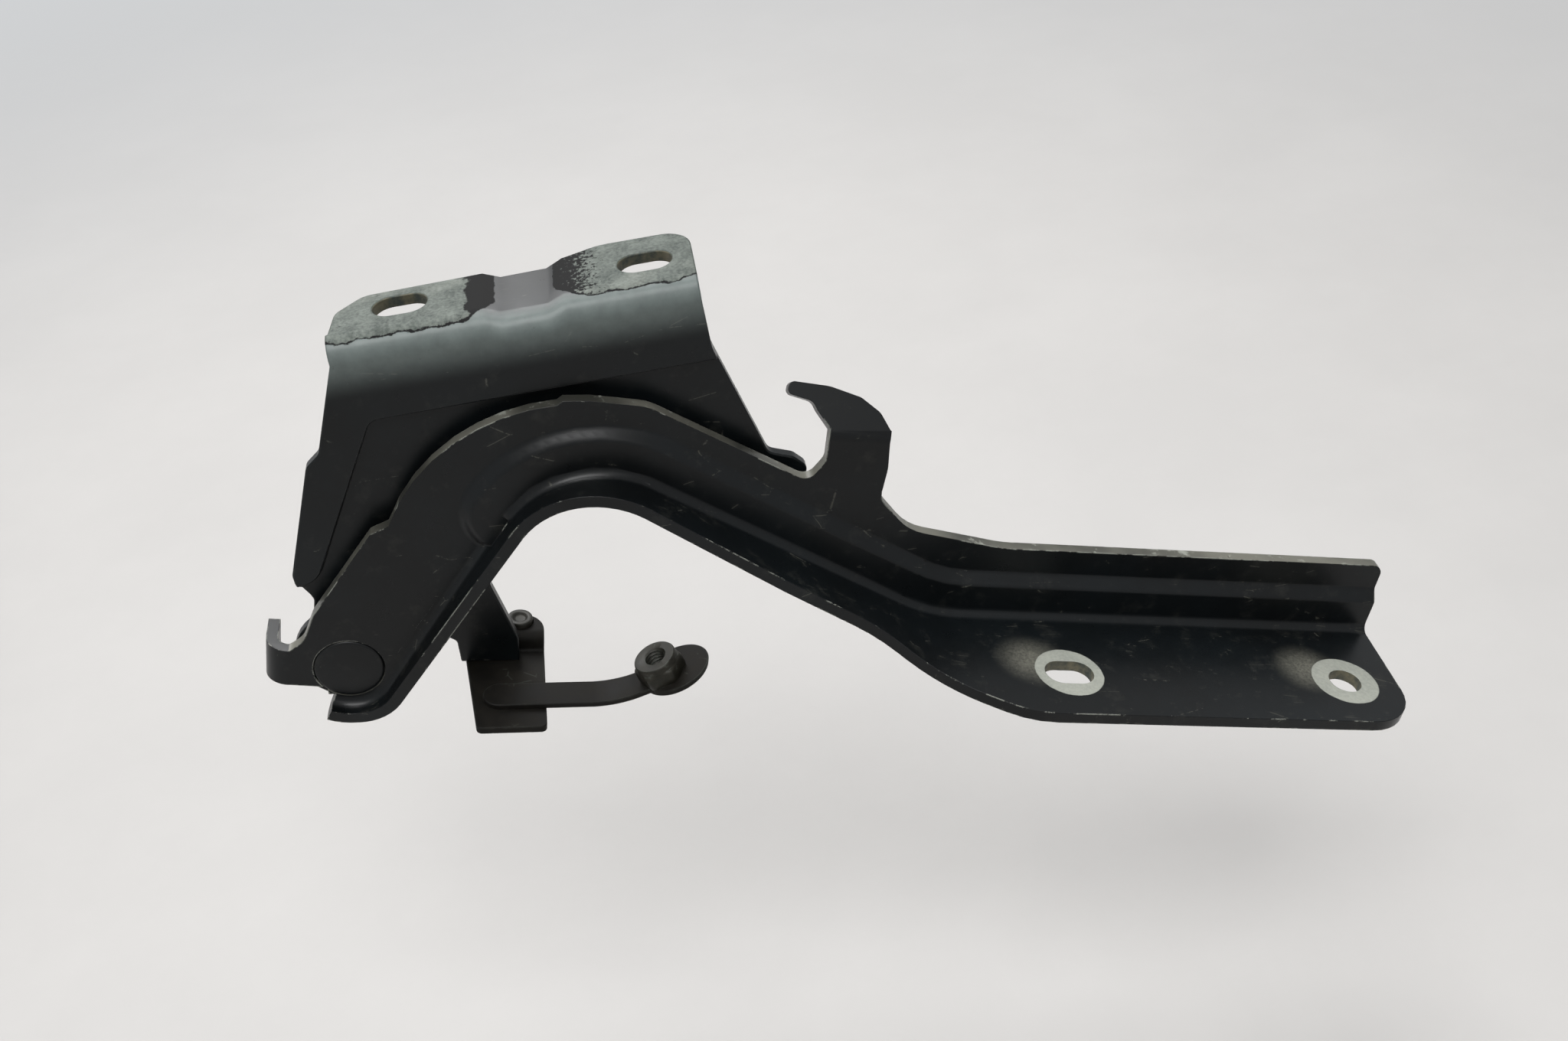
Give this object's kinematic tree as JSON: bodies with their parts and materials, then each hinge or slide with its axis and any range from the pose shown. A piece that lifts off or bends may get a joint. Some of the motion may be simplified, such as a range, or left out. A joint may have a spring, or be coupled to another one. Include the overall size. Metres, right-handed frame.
{
  "type": "bonnet hinge",
  "caption": "Gooseneck bonnet hinge: a pressed sheet-steel arm with a hook and bolting flange turns on a flush rivet in a folded body bracket with a nut strip.",
  "frame": {"origin": "midway between the two body slots, on the bracket's body face", "axes": "+X along the slots towards the bonnet end, +Y along the hinge axis away from the bonnet flange, +Z out of the body face"},
  "size_m": [0.2955, 0.0715, 0.142],
  "materials": {
    "black_paint": "semi-gloss dip paint over zinc-coated steel, worn to bare zinc round the screws",
    "dark_coating": "thin dull coating",
    "bare_steel": "satin, lightly zinc plated"
  },
  "bodies": {
    "bracket": {"body_bracket": "black_paint", "pivot_bush": "bare_steel", "support_plate": "dark_coating", "support_stud": "dark_coating", "nut_strip": "dark_coating", "weld_nut": "dark_coating"},
    "arm": {"hinge_arm": "black_paint", "pivot_rivet": "black_paint", "thrust_washer": "bare_steel", "tail_washer": "bare_steel"}
  },
  "joints": [
    {"name": "arm_pivot", "type": "hinge", "parent": "bracket", "child": "arm", "pos_m": [-0.064, -0.0108, -0.09], "axis": [0, 1, 0], "range_deg": [-10, 28]}
  ]
}
